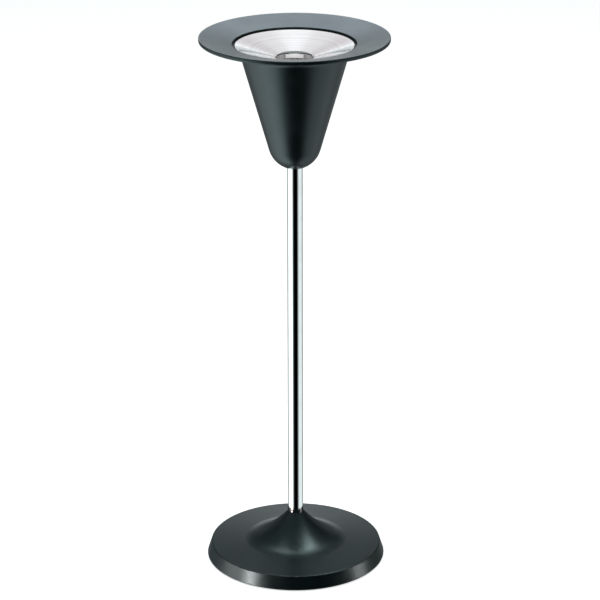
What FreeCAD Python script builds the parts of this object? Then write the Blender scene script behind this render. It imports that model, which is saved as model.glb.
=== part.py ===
"""Pedestal ashtray stand: a conical head with a wide flange, on a chromed pole and a weighted round base.

The head holds an aluminium ash bottle under a polished bowl. Both lift straight out to be emptied.
Units are millimetres. The origin is on the floor at the stand's axis, and +Z is up.
Most pieces are solids of revolution about Z, so their outlines are (radius, height) points.
"""
import FreeCAD
import Part
import math
import os

V = FreeCAD.Vector
Z_AXIS = V(0, 0, 1)
ORIGIN = V(0, 0, 0)

# ---------------------------------------------------------------- driving dimensions

# overall
OVERALL_HEIGHT = 675.0        # floor to the flange's outer rim
FLANGE_DIAMETER = 228.0
BASE_DIAMETER = 224.2

# flange and its recess
FLANGE_FALL = 11.6            # degrees that the flange slopes down towards the bowl
FLANGE_PLATE = 3.0            # thickness of the flange's plate
RIM_HEIGHT = 5.5              # height of the flange's outer edge
RIM_WIDTH = 3.6               # width of the thicker outer edge
RIM_TOP_ROUND = 1.0
RIM_LOW_ROUND = 2.0
COLLAR_FLOOR = 2.6            # material left under the bowl's recess
COLLAR_WALL = 2.4             # material outside the bowl's recess
COLLAR_ROUND = 1.5

# conical shell
CONE_HALF_ANGLE = 16.0        # degrees from vertical
SHELL_WALL = 3.0
NOSE_RADIUS = 32.2            # spherical lower end
FLARE_RADIUS = 8.0            # between the flank and the collar's underside
CLAMP_THICKNESS = 4.0         # shell floor between the pole's end and the head bolt's washer
POLE_SOCKET_DEPTH = 2.7       # how far the pole's edge enters the nose

# bowl
BOWL_DIAMETER = 142.6
BOWL_SHEET = 0.9
BOWL_SLOPE = 17.0             # degrees
BOWL_BEAD = 1.6               # height and width of the rolled rim
BOWL_SETBACK = 2.0            # bowl rim below the flange's inner edge
BOWL_GAP = 2.7                # radial gap between the bowl's rim and the flange
NECK_RADIUS = 22.0            # inside of the bowl's drop hole
NECK_ROUND = 3.5
NECK_LENGTH = 7.5             # from the bottom of the dish to the neck's lower edge

# seats in the recess
LEDGE_WIDTH = 8.1             # upper seat, for the bowl's ring
SEAT_RING_HEIGHT = 1.0
SEAT_RING_WIDTH = 5.0
BOTTLE_STEP_DEPTH = 4.0       # lower seat, for the bottle's lip
BOTTLE_STEP_WIDTH = 2.8
REST_GAP = 0.3                # between a loose piece and the seat it rests on

# bottle
BOTTLE_WALL = 1.0
BOTTLE_CLEARANCE = 3.0        # between the bottle and the shell's inside
BOTTLE_LIP = 1.2              # thickness of the lip
BOTTLE_CORNER = 13.0
BOTTLE_FLOOR_CLEARANCE = 2.5  # above the head bolt

# pole
POLE_DIAMETER = 19.1
POLE_WALL = 1.0
PLUG_LENGTH = 26.0

# base cover
COVER_WALL = 3.0
SKIRT_LIFT = 1.0              # gap between the skirt and the floor
CREASE_HEIGHT = 18.0          # top of the skirt
SKIRT_ROUND = 1.0
CREASE_ROUND = 1.6
CREASE_INSIDE_ROUND = 1.0
CREASE_INSET = 5.6            # crease inside the skirt's foot
COVER_RISE = 3.5              # degrees, outer part of the cover
HUMP_FOOT_ANGLE = 32.6        # degrees, where the foot's arc meets the hump's
HUMP_FOOT_RADIUS = 37.0
HUMP_TOP_ANGLE = 50.6         # degrees, at the neck
NECK_HEIGHT = 58.0            # top of the cover, where the pole enters
NECK_LAND = 0.5               # width of the cover's top edge round the pole
GUIDE_WALL = 2.2              # tube under the cover's top that holds the bush
BUSH_DEPTH = 6.5              # cover's top to the bush's upper end
BUSH_WALL = 1.8
BUSH_FLANGE = 1.5             # thickness of the bush's flange

# base plate, weight, feet
PLATE_THICKNESS = 1.5
PLATE_HEIGHT = 3.0            # floor to the plate's underside, and the feet's height
FOOT_DIAMETER = 20.0
FOOT_DRAFT = 1.0
FOOT_COUNT = 4
HUB_WALL = 9.0                # weight's hub outside the bolt's pocket
HUB_DRAFT = 4.0
HUB_FILLET = 5.0              # between the weight's disc and its hub
WEIGHT_DRAFT = 1.0
WEIGHT_ROUND = 1.5
HUB_WEB = 6.0                 # between the bolt's pocket and the pole's seat
HUB_GAP = 5.0                 # between the hub and the bush
POLE_SEAT_DEPTH = 4.0
SCREW_COUNT = 4
SCREW_INSET = 17.0            # screw circle inside the base's edge
BOSS_RADIUS = 5.0
SCREW_RADIUS = 2.0
SCREW_BITE = 1.7              # radius of the screw's core and of its pilot hole
SCREW_HOLE_DEPTH = 5.5
SCREW_HEAD_RADIUS = 4.0
SCREW_HEAD_HEIGHT = 1.8
SCREW_HEAD_ROUND = 1.2
SLOT_LENGTH = 4.4             # the two slots of the screw's cross recess
SLOT_WIDTH = 0.9
SLOT_DEPTH = 1.0

# bolts: shank radius, head across flats and height, washer radius and thickness, thickness of the lock
# washer, and how far the shank goes into its plug
HEAD_BOLT = dict(shank=4.0, flats=13.0, head=5.3, washer_r=8.5, washer=1.6, lock=2.0, reach=22.4)
BASE_BOLT = dict(shank=5.0, flats=17.0, head=6.4, washer_r=13.0, washer=2.0, lock=2.5, reach=24.5)

# edges
EDGE = 0.3                    # round that breaks an edge
SOFT_EDGE = 0.8               # rounder edge of a moulding or a lip
TIP = 1.0                     # bevel on the end of a bolt or a screw
PLUG_BEVEL = 0.6
WASHER_SLIT = 1.2             # width of the gap in a lock washer
SLIT_TILT = 20.0              # degrees

# clearances
FIT = 0.05                    # between pieces that are pressed or threaded together
HOLE = 0.4                    # bolt hole over shank, in radius
LOOSE = 0.6                   # between pieces that only lie beside each other
WRENCH_ROOM = 2.0             # round the base bolt's washer
WEIGHT_GAP = 1.2              # between the weight and the cover

# ---------------------------------------------------------------- places that follow from them

POLE_RADIUS = POLE_DIAMETER / 2
POLE_BORE = POLE_RADIUS - POLE_WALL
RIM_RADIUS = FLANGE_DIAMETER / 2
BASE_RADIUS = BASE_DIAMETER / 2
BOWL_RADIUS = BOWL_DIAMETER / 2

fall = math.tan(math.radians(FLANGE_FALL))
lean = math.radians(CONE_HALF_ANGLE)

# recess in the flange, from the outside in and from the top down
RECESS_RADIUS = BOWL_RADIUS + BOWL_GAP
RECESS_EDGE_Z = OVERALL_HEIGHT - (RIM_RADIUS - RECESS_RADIUS) * fall
BOWL_RIM_Z = RECESS_EDGE_Z - BOWL_SETBACK
SEAT_TOP_Z = BOWL_RIM_Z - BOWL_BEAD - REST_GAP
LEDGE_Z = SEAT_TOP_Z - SEAT_RING_HEIGHT
LEDGE_INNER_RADIUS = RECESS_RADIUS - LEDGE_WIDTH
STEP_Z = LEDGE_Z - BOTTLE_STEP_DEPTH
MOUTH_RADIUS = LEDGE_INNER_RADIUS - BOTTLE_STEP_WIDTH
COLLAR_Z = LEDGE_Z - COLLAR_FLOOR
COLLAR_RADIUS = RECESS_RADIUS + COLLAR_WALL

# flank of the cone: its inside passes through the shell's mouth at the step
FLANK_OUT = SHELL_WALL / math.cos(lean)       # wall measured across, at constant height
BOTTLE_OUT = (SHELL_WALL + BOTTLE_CLEARANCE) / math.cos(lean)
BOTTLE_IN = BOTTLE_OUT + BOTTLE_WALL / math.cos(lean)


def flank_radius(z, inside=0.0):
    """Radius of the cone's flank at height z, moved inwards by a horizontal distance."""
    return MOUTH_RADIUS + FLANK_OUT + (z - STEP_Z) * math.tan(lean) - inside


# spherical nose, tangent to the flank
NOSE_Z = STEP_Z - ((MOUTH_RADIUS + FLANK_OUT) * math.cos(lean) - NOSE_RADIUS) / math.sin(lean)
SOCKET_RADIUS = POLE_RADIUS + FIT


def sphere_low(radius, r):
    """Height of the lower surface of a sphere about the nose's centre, at distance r from the axis."""
    return NOSE_Z - math.sqrt(radius ** 2 - r ** 2)


POLE_TOP_Z = sphere_low(NOSE_RADIUS, SOCKET_RADIUS) + POLE_SOCKET_DEPTH
SHELL_FLOOR_Z = POLE_TOP_Z + CLAMP_THICKNESS
NOSE_INSIDE = NOSE_RADIUS - SHELL_WALL
HEAD_BOLT_TOP_Z = SHELL_FLOOR_Z + HEAD_BOLT["washer"] + HEAD_BOLT["lock"] + HEAD_BOLT["head"]
BOTTLE_FLOOR_Z = HEAD_BOLT_TOP_Z + BOTTLE_FLOOR_CLEARANCE

# base
PLATE_TOP_Z = PLATE_HEIGHT + PLATE_THICKNESS
CREASE_RADIUS = BASE_RADIUS - CREASE_INSET
NECK_RADIUS_TOP = POLE_RADIUS + NECK_LAND
SCREW_CIRCLE = BASE_RADIUS - SCREW_INSET
WEIGHT_RADIUS = SCREW_CIRCLE - BOSS_RADIUS - WEIGHT_GAP
POCKET_RADIUS = BASE_BOLT["washer_r"] + WRENCH_ROOM
POCKET_Z = PLATE_TOP_Z + BASE_BOLT["washer"] + BASE_BOLT["lock"] + BASE_BOLT["head"] + LOOSE
POLE_BOTTOM_Z = POCKET_Z + HUB_WEB
HUB_TOP_Z = POLE_BOTTOM_Z + POLE_SEAT_DEPTH
HUB_RADIUS = POCKET_RADIUS + HUB_WALL
BUSH_TOP_Z = NECK_HEIGHT - BUSH_DEPTH
BUSH_LOW_Z = HUB_TOP_Z + HUB_GAP
BUSH_RADIUS = SOCKET_RADIUS + BUSH_WALL
GUIDE_RADIUS = BUSH_RADIUS + FIT + GUIDE_WALL


# ---------------------------------------------------------------- helpers

def point(r, z):
    return V(r, 0, z)


def outline(steps):
    """Closed wire in the XZ plane.

    A step is (r, z), (r, z, corner radius), or ((r, z) on an arc, (r, z) at the arc's end).
    """
    ends = [s[1] if isinstance(s[0], tuple) else s[:2] for s in steps]
    starts, finishes, arcs = [], [], []
    count = len(steps)
    for i, step in enumerate(steps):
        here = point(*ends[i])
        if isinstance(step[0], tuple) or len(step) == 2 or step[2] <= 0:
            starts.append(here)
            finishes.append(here)
            arcs.append(None)
            continue
        back = (point(*ends[i - 1]) - here).normalize()
        ahead = (point(*ends[(i + 1) % count]) - here).normalize()
        half = back.getAngle(ahead) / 2
        reach = step[2] / math.tan(half)
        bisector = (back + ahead).normalize()
        middle = here + bisector * (step[2] / math.sin(half) - step[2])
        starts.append(here + back * reach)
        finishes.append(here + ahead * reach)
        arcs.append(middle)
    edges = []
    for i, step in enumerate(steps):
        begin, end = finishes[i - 1], starts[i]
        if isinstance(step[0], tuple):
            edges.append(Part.Arc(begin, point(*step[0]), end).toShape())
        elif begin.distanceToPoint(end) > 1e-7:
            edges.append(Part.LineSegment(begin, end).toShape())
        if arcs[i] is not None:
            edges.append(Part.Arc(starts[i], arcs[i], finishes[i]).toShape())
    return Part.Wire(edges)


def turned(steps):
    """Solid of revolution about Z."""
    return Part.Face(outline(steps)).revolve(ORIGIN, Z_AXIS, 360)


def ring(inner, outer, low, high, edge=0.0):
    return turned([(inner, low), (outer, low, edge), (outer, high, edge), (inner, high)])


def tube(inner, outer, low, high, chamfer=0.0):
    """Ring whose outer corners are cut at 45 degrees."""
    if chamfer <= 0:
        return ring(inner, outer, low, high)
    return turned([(inner, low), (outer - chamfer, low), (outer, low + chamfer),
                   (outer, high - chamfer), (outer - chamfer, high), (inner, high)])


def on_circle(radius, count, first=0.0):
    """Centres spaced evenly on a circle."""
    angles = [math.radians(first + 360.0 * i / count) for i in range(count)]
    return [V(radius * math.cos(a), radius * math.sin(a), 0) for a in angles]


def hex_prism(flats, low, high):
    corner = flats / math.sqrt(3)
    corners = on_circle(corner, 6)
    wire = Part.makePolygon([c + V(0, 0, low) for c in corners + corners[:1]])
    return Part.Face(wire).extrude(V(0, 0, high - low))


def hex_bolt(size, clamped, seat_z, direction):
    """Hex bolt about Z that clamps a thickness under its washers. With direction -1 its head is below."""
    length = size["lock"] + size["washer"] + clamped + size["reach"]
    corner = size["flats"] / math.sqrt(3)
    bevel = corner - size["flats"] / 2
    head = hex_prism(size["flats"], 0, size["head"])
    cone = turned([(0, 0), (corner, 0), (corner, size["head"] - bevel * 0.6),
                   (size["flats"] / 2, size["head"]), (0, size["head"])])
    shank = turned([(0, -length), (size["shank"] - TIP, -length), (size["shank"], TIP - length),
                    (size["shank"], 0), (0, 0)])
    bolt = head.common(cone).fuse(shank).removeSplitter()
    if direction < 0:
        bolt.rotate(ORIGIN, V(1, 0, 0), 180)
    bolt.translate(V(0, 0, seat_z))
    return bolt


def lock_washer(size, low):
    """Split ring of square section."""
    washer = ring(size["shank"] + HOLE, size["flats"] / 2, low, low + size["lock"])
    corner = V(0, -WASHER_SLIT / 2, low - size["lock"])
    slit = Part.makeBox(size["flats"], WASHER_SLIT, 3 * size["lock"], corner)
    slit.rotate(V(size["flats"] / 3, 0, low + size["lock"] / 2), V(1, 0, 0), SLIT_TILT)
    return washer.cut(slit)


def flat_washer(size, low):
    return ring(size["shank"] + HOLE, size["washer_r"], low, low + size["washer"], EDGE)


# ---------------------------------------------------------------- head

def head_shell():
    """Flange, collar, conical shell and spherical nose, moulded in one piece."""
    nose_side = math.radians(-CONE_HALF_ANGLE)
    nose_edge = math.asin(-(NOSE_Z - sphere_low(NOSE_RADIUS, SOCKET_RADIUS)) / NOSE_RADIUS)
    nose_mid = (nose_side + nose_edge) / 2
    floor_radius = math.sqrt(NOSE_INSIDE ** 2 - (NOSE_Z - SHELL_FLOOR_Z) ** 2)
    floor_edge = math.asin(-(NOSE_Z - SHELL_FLOOR_Z) / NOSE_INSIDE)
    inside_mid = (nose_side + floor_edge) / 2

    def on_nose(radius, angle):
        return radius * math.cos(angle), NOSE_Z + radius * math.sin(angle)

    under_z = OVERALL_HEIGHT - FLANGE_PLATE / math.cos(math.radians(FLANGE_FALL))
    rim_inner = RIM_RADIUS - RIM_WIDTH
    return turned([
        (HEAD_BOLT["shank"] + HOLE, POLE_TOP_Z),
        (SOCKET_RADIUS, POLE_TOP_Z),
        (SOCKET_RADIUS, sphere_low(NOSE_RADIUS, SOCKET_RADIUS)),
        (on_nose(NOSE_RADIUS, nose_mid), on_nose(NOSE_RADIUS, nose_side)),
        (flank_radius(COLLAR_Z), COLLAR_Z, FLARE_RADIUS),
        (COLLAR_RADIUS, COLLAR_Z, COLLAR_ROUND),
        (COLLAR_RADIUS, under_z - (RIM_RADIUS - COLLAR_RADIUS) * fall, COLLAR_ROUND),
        (rim_inner, under_z - RIM_WIDTH * fall, SOFT_EDGE),
        (rim_inner, OVERALL_HEIGHT - RIM_HEIGHT, EDGE),
        (RIM_RADIUS, OVERALL_HEIGHT - RIM_HEIGHT, RIM_LOW_ROUND),
        (RIM_RADIUS, OVERALL_HEIGHT, RIM_TOP_ROUND),
        (RECESS_RADIUS, RECESS_EDGE_Z, SOFT_EDGE),
        (RECESS_RADIUS, LEDGE_Z, EDGE),
        (LEDGE_INNER_RADIUS, LEDGE_Z, EDGE),
        (LEDGE_INNER_RADIUS, STEP_Z, EDGE),
        (MOUTH_RADIUS, STEP_Z, EDGE),
        on_nose(NOSE_INSIDE, nose_side),
        (on_nose(NOSE_INSIDE, inside_mid), (floor_radius, SHELL_FLOOR_Z)),
        (HEAD_BOLT["shank"] + HOLE, SHELL_FLOOR_Z),
    ])


def seat_ring():
    """Black rubber ring in the recess that the bowl's rim lies on."""
    return ring(RECESS_RADIUS - FIT - SEAT_RING_WIDTH, RECESS_RADIUS - FIT, LEDGE_Z, SEAT_TOP_Z, EDGE)


def ash_bowl():
    """Polished dish with a rolled rim and a short drop neck."""
    tilt = math.radians(BOWL_SLOPE)
    bead = BOWL_BEAD / 2
    rim_r = BOWL_RADIUS - bead
    rim_z = BOWL_RIM_Z - bead
    # the sheet's upper surface leaves the bead at its top inner side
    start_r = rim_r - bead * math.sin(tilt)
    start_z = rim_z + bead * math.cos(tilt)
    end_z = start_z - (start_r - NECK_RADIUS) * math.tan(tilt)
    drop = BOWL_SHEET / math.cos(tilt)
    low_z = end_z - NECK_LENGTH
    neck_out = NECK_RADIUS + BOWL_SHEET
    under_r = rim_r
    under_z = start_z - drop + (under_r - start_r) * math.tan(tilt)
    dish = turned([
        (start_r, start_z),
        (NECK_RADIUS, end_z, NECK_ROUND),
        (NECK_RADIUS, low_z, EDGE),
        (neck_out, low_z, EDGE),
        (neck_out, end_z - drop + BOWL_SHEET * math.tan(tilt), NECK_ROUND - BOWL_SHEET),
        (under_r, under_z),
    ])
    bead_ring = Part.makeTorus(rim_r, bead, V(0, 0, rim_z), Z_AXIS)
    return dish.fuse(bead_ring).removeSplitter()


def ash_bottle():
    """Tapered aluminium bottle with a turned-out lip and a rounded bottom."""
    lip_radius = LEDGE_INNER_RADIUS - LOOSE
    lip_low = STEP_Z + REST_GAP
    lip_top = lip_low + BOTTLE_LIP
    floor_top = BOTTLE_FLOOR_Z + BOTTLE_WALL
    return turned([
        (0, BOTTLE_FLOOR_Z),
        (flank_radius(BOTTLE_FLOOR_Z, BOTTLE_OUT), BOTTLE_FLOOR_Z, BOTTLE_CORNER),
        (flank_radius(lip_low, BOTTLE_OUT), lip_low, SOFT_EDGE),
        (lip_radius, lip_low, EDGE),
        (lip_radius, lip_top, EDGE),
        (flank_radius(lip_top, BOTTLE_IN), lip_top, SOFT_EDGE),
        (flank_radius(floor_top, BOTTLE_IN), floor_top, BOTTLE_CORNER - BOTTLE_WALL),
        (0, floor_top),
    ])


def bottle_volume():
    """What the bottle holds, in litres, filled to its lip."""
    low, top = BOTTLE_FLOOR_Z + BOTTLE_WALL, STEP_Z
    space = turned([(0, low), (flank_radius(low, BOTTLE_IN), low, BOTTLE_CORNER - BOTTLE_WALL),
                    (flank_radius(top, BOTTLE_IN), top), (0, top)])
    return space.Volume / 1e6


# ---------------------------------------------------------------- pole

def pole_tube():
    return ring(POLE_BORE, POLE_RADIUS, POLE_BOTTOM_Z, POLE_TOP_Z, EDGE)


def pole_plug(bolt, low, high):
    """Turned plug with a threaded bore, fixed in the end of the pole. The thread is a plain bore."""
    return tube(bolt["shank"] + FIT, POLE_BORE - FIT, low, high, PLUG_BEVEL)


# ---------------------------------------------------------------- base

def cover_top(inset=0.0):
    """Outline steps of the cover's top, from crease to neck, moved inwards along its normals.

    A straight rise from the crease, an arc of HUMP_FOOT_RADIUS, and a flatter arc that ends at the neck. The
    length of the rise and the second radius follow from where the crease and the neck are.
    """
    angles = [math.radians(a) for a in (COVER_RISE, HUMP_FOOT_ANGLE, HUMP_TOP_ANGLE)]
    sines = [math.sin(a) for a in angles]
    cosines = [math.cos(a) for a in angles]
    across = CREASE_RADIUS - NECK_RADIUS_TOP - HUMP_FOOT_RADIUS * (sines[1] - sines[0])
    up = NECK_HEIGHT - CREASE_HEIGHT - HUMP_FOOT_RADIUS * (cosines[0] - cosines[1])
    run, lift = sines[2] - sines[1], cosines[1] - cosines[2]
    scale = cosines[0] * lift - sines[0] * run
    rise_length = (across * lift - up * run) / scale
    top_radius = (up * cosines[0] - across * sines[0]) / scale

    steps = [crease_point(inset)]
    r = CREASE_RADIUS - rise_length * cosines[0]
    z = CREASE_HEIGHT + rise_length * sines[0]
    steps.append((r - inset * sines[0], z - inset * cosines[0]))
    for i, radius in enumerate((HUMP_FOOT_RADIUS, top_radius)):
        centre_r, centre_z = r + radius * sines[i], z + radius * cosines[i]
        middle = (angles[i] + angles[i + 1]) / 2
        on_arc = [(centre_r - (radius + inset) * math.sin(a), centre_z - (radius + inset) * math.cos(a))
                  for a in (middle, angles[i + 1])]
        steps.append(tuple(on_arc))
        r, z = centre_r - radius * sines[i + 1], centre_z - radius * cosines[i + 1]
    return steps


def skirt_radius(z, inset=0.0):
    """Radius of the skirt at height z, moved inwards along its normal."""
    slope = CREASE_INSET / (CREASE_HEIGHT - SKIRT_LIFT)
    return BASE_RADIUS - (z - SKIRT_LIFT) * slope - inset * math.hypot(1, slope)


def crease_point(inset):
    """Where the skirt meets the rise, both moved inwards along their normals."""
    slope = CREASE_INSET / (CREASE_HEIGHT - SKIRT_LIFT)
    rise = math.tan(math.radians(COVER_RISE))
    level = CREASE_HEIGHT - inset / math.cos(math.radians(COVER_RISE))
    # height is level + (CREASE_RADIUS - r) * rise, and r is skirt_radius(height)
    z = (level + (CREASE_RADIUS - skirt_radius(0, inset)) * rise) / (1 - slope * rise)
    return skirt_radius(z, inset), z


def cover_underside(r):
    """Height of the underside of the cover's rise at radius r."""
    edge_r, edge_z = crease_point(COVER_WALL)
    return edge_z + (edge_r - r) * math.tan(math.radians(COVER_RISE))


def cover_envelope():
    """Solid under the cover's outer surface, without its bore."""
    crease, *top = cover_top()
    return turned([
        (0, SKIRT_LIFT),
        (skirt_radius(SKIRT_LIFT), SKIRT_LIFT, SKIRT_ROUND),
        (*crease, CREASE_ROUND),
        *top,
        (0, NECK_HEIGHT),
    ])


def cover_inside():
    """Space inside the cover, down past its lower edge."""
    crease, *top = cover_top(COVER_WALL)
    low = SKIRT_LIFT - 1.0
    return turned([
        (0, low),
        (skirt_radius(low, COVER_WALL), low),
        (*crease, CREASE_INSIDE_ROUND),
        *top,
        (0, top[-1][-1][1]),
    ])


def base_cover():
    """Moulded cover with screw bosses and a tube for the pole's bush under it."""
    envelope = cover_envelope()
    shell = envelope.cut(cover_inside())
    guide = ring(SOCKET_RADIUS, GUIDE_RADIUS, BUSH_LOW_Z, NECK_HEIGHT)
    shell = shell.fuse(guide.common(envelope))
    boss = Part.makeCylinder(BOSS_RADIUS, CREASE_HEIGHT - PLATE_TOP_Z, V(0, 0, PLATE_TOP_Z))
    for centre in on_circle(SCREW_CIRCLE, SCREW_COUNT, 45):
        shell = shell.fuse(boss.translated(centre))
    pilot = Part.makeCylinder(SCREW_BITE, SCREW_HOLE_DEPTH, V(0, 0, PLATE_TOP_Z))
    for centre in on_circle(SCREW_CIRCLE, SCREW_COUNT, 45):
        shell = shell.cut(pilot.translated(centre))
    shell = shell.cut(ring(0, BUSH_RADIUS + FIT, SKIRT_LIFT, BUSH_TOP_Z))
    return shell.cut(ring(0, SOCKET_RADIUS, SKIRT_LIFT, NECK_HEIGHT)).removeSplitter()


def guide_bush():
    """Nylon bush that centres the pole in the cover."""
    return turned([
        (SOCKET_RADIUS, BUSH_LOW_Z - BUSH_FLANGE),
        (GUIDE_RADIUS, BUSH_LOW_Z - BUSH_FLANGE, EDGE),
        (GUIDE_RADIUS, BUSH_LOW_Z),
        (BUSH_RADIUS, BUSH_LOW_Z),
        (BUSH_RADIUS, BUSH_TOP_Z, EDGE),
        (SOCKET_RADIUS, BUSH_TOP_Z),
    ])


def base_plate():
    """Steel plate that closes the base, with a hole over the bolt's pocket."""
    radius = skirt_radius(PLATE_TOP_Z, COVER_WALL) - LOOSE
    plate = ring(POCKET_RADIUS + WRENCH_ROOM, radius, PLATE_HEIGHT, PLATE_TOP_Z, EDGE)
    hole = Part.makeCylinder(SCREW_RADIUS + HOLE, PLATE_THICKNESS, V(0, 0, PLATE_HEIGHT))
    for centre in on_circle(SCREW_CIRCLE, SCREW_COUNT, 45):
        plate = plate.cut(hole.translated(centre))
    return plate


def base_weight():
    """Cast weight: a disc with a hub that the pole stands in and a pocket for the bolt's head."""
    top = cover_underside(WEIGHT_RADIUS) - WEIGHT_GAP
    return turned([
        (BASE_BOLT["shank"] + HOLE, POCKET_Z),
        (POCKET_RADIUS, POCKET_Z, SOFT_EDGE),
        (POCKET_RADIUS, PLATE_TOP_Z),
        (WEIGHT_RADIUS, PLATE_TOP_Z, SOFT_EDGE),
        (WEIGHT_RADIUS - WEIGHT_DRAFT, top, WEIGHT_ROUND),
        (HUB_RADIUS + HUB_DRAFT, top, HUB_FILLET),
        (HUB_RADIUS, HUB_TOP_Z, WEIGHT_ROUND),
        (SOCKET_RADIUS, HUB_TOP_Z, EDGE),
        (SOCKET_RADIUS, POLE_BOTTOM_Z),
        (BASE_BOLT["shank"] + HOLE, POLE_BOTTOM_Z),
    ])


def plate_screws():
    """Pan-head screws through the plate into the cover's bosses."""
    head_low = PLATE_HEIGHT - SCREW_HEAD_HEIGHT
    tip = PLATE_TOP_Z + SCREW_HOLE_DEPTH - LOOSE
    shank = SCREW_BITE - FIT
    screw = turned([
        (0, head_low),
        (SCREW_HEAD_RADIUS, head_low, SCREW_HEAD_ROUND),
        (SCREW_HEAD_RADIUS, PLATE_HEIGHT),
        (shank, PLATE_HEIGHT),
        (shank, tip - TIP),
        (shank - TIP, tip),
        (0, tip),
    ])
    for turn in (0, 90):
        corner = V(-SLOT_LENGTH / 2, -SLOT_WIDTH / 2, head_low)
        slot = Part.makeBox(SLOT_LENGTH, SLOT_WIDTH, SLOT_DEPTH, corner)
        slot.rotate(ORIGIN, Z_AXIS, turn)
        screw = screw.cut(slot)
    return Part.makeCompound([screw.translated(c) for c in on_circle(SCREW_CIRCLE, SCREW_COUNT, 45)])


def rubber_feet():
    """Rubber feet stuck under the plate, one node each."""
    radius = FOOT_DIAMETER / 2
    foot = turned([
        (0, 0.0),
        (radius - FOOT_DRAFT, 0.0, EDGE),
        (radius, PLATE_HEIGHT),
        (0, PLATE_HEIGHT),
    ])
    centres = on_circle(SCREW_CIRCLE, FOOT_COUNT)
    return {f"rubber_foot_{i + 1}": foot.translated(centre) for i, centre in enumerate(centres)}


# ---------------------------------------------------------------- assembly

def build():
    base_washer_low = POCKET_Z - BASE_BOLT["washer"]
    base_lock_low = base_washer_low - BASE_BOLT["lock"]
    head_lock_low = SHELL_FLOOR_Z + HEAD_BOLT["washer"]
    return {
        "base_cover": base_cover(),
        "base_weight": base_weight(),
        "base_plate": base_plate(),
        "base_plate_screws": plate_screws(),
        **rubber_feet(),
        "base_bolt": hex_bolt(BASE_BOLT, HUB_WEB, base_lock_low, -1),
        "base_lock_washer": lock_washer(BASE_BOLT, base_lock_low),
        "base_flat_washer": flat_washer(BASE_BOLT, base_washer_low),
        "pole_bottom_plug": pole_plug(BASE_BOLT, POLE_BOTTOM_Z, POLE_BOTTOM_Z + PLUG_LENGTH),
        "pole_tube": pole_tube(),
        "pole_guide_bush": guide_bush(),
        "pole_top_plug": pole_plug(HEAD_BOLT, POLE_TOP_Z - PLUG_LENGTH, POLE_TOP_Z),
        "head_shell": head_shell(),
        "head_flat_washer": flat_washer(HEAD_BOLT, SHELL_FLOOR_Z),
        "head_lock_washer": lock_washer(HEAD_BOLT, head_lock_low),
        "head_bolt": hex_bolt(HEAD_BOLT, CLAMP_THICKNESS, head_lock_low + HEAD_BOLT["lock"], 1),
        "bowl_seat_ring": seat_ring(),
        "ash_bottle": ash_bottle(),
        "ash_bowl": ash_bowl(),
    }


os.makedirs("parts", exist_ok=True)
for name, shape in build().items():
    shape.exportStep(f"parts/{name}.step")
    solids = len(shape.Solids)
    print(f"{name:20s} valid {shape.isValid()} solids {solids} volume {shape.Volume / 1000:9.3f} cm3")
print(f"bottle holds {bottle_volume():.3f} litres; pole {POLE_TOP_Z - POLE_BOTTOM_Z:.1f} mm long")
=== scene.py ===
"""Looks of the pedestal ashtray stand: turned meshes, procedural materials and a soft studio.

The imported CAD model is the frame. Each turned piece takes its place and outer size from its CAD node's box.
Outlines are (radius, height) points in millimetres. Everything else is in metres.
"""
import math

import bpy
from mathutils import Matrix, Vector


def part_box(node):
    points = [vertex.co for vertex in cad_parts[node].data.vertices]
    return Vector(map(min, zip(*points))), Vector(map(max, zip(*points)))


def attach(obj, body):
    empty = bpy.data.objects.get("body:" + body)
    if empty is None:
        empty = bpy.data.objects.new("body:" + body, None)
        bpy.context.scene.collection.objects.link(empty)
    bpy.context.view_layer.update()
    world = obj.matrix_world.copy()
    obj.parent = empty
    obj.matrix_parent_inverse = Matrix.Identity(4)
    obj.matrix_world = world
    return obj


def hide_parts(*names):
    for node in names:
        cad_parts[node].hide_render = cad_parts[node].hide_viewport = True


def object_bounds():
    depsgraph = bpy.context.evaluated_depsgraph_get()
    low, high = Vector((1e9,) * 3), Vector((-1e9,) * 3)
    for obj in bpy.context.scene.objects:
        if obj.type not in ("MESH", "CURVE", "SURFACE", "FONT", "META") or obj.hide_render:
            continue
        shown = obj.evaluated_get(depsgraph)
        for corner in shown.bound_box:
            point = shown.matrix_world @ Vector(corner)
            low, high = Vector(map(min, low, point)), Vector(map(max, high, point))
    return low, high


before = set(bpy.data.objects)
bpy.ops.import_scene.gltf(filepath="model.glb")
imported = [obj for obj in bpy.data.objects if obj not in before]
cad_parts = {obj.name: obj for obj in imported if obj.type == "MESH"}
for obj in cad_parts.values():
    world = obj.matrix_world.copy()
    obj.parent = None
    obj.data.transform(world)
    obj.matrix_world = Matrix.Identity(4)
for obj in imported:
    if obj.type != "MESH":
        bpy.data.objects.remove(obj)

cad_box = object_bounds()
MM = 0.001

# ---------------------------------------------------------------- sizes in millimetres, as on the CAD pieces

FLANGE_FALL = math.radians(11.6)
FLANGE_PLATE = 3.0
RIM_HEIGHT = 5.5
RIM_WIDTH = 3.6
RIM_TOP_ROUND = 1.0
RIM_LOW_ROUND = 2.0
COLLAR_FLOOR = 2.6
COLLAR_WALL = 2.4
COLLAR_ROUND = 1.5
CONE_LEAN = math.radians(16.0)
SHELL_WALL = 3.0
NOSE_RADIUS = 32.2
FLARE_RADIUS = 8.0
CLAMP_THICKNESS = 4.0
HEAD_BOLT_HOLE = 4.4

BOWL_SHEET = 0.9
BOWL_SLOPE = math.radians(17.0)
BOWL_BEAD = 1.6
DROP_RADIUS = 22.0
DROP_ROUND = 3.5
SEAT_RING_WIDTH = 5.0

BOTTLE_WALL = 1.0
BOTTLE_CLEARANCE = 3.0
BOTTLE_LIP = 1.2
BOTTLE_CORNER = 13.0
POLE_WALL = 1.0

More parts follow.
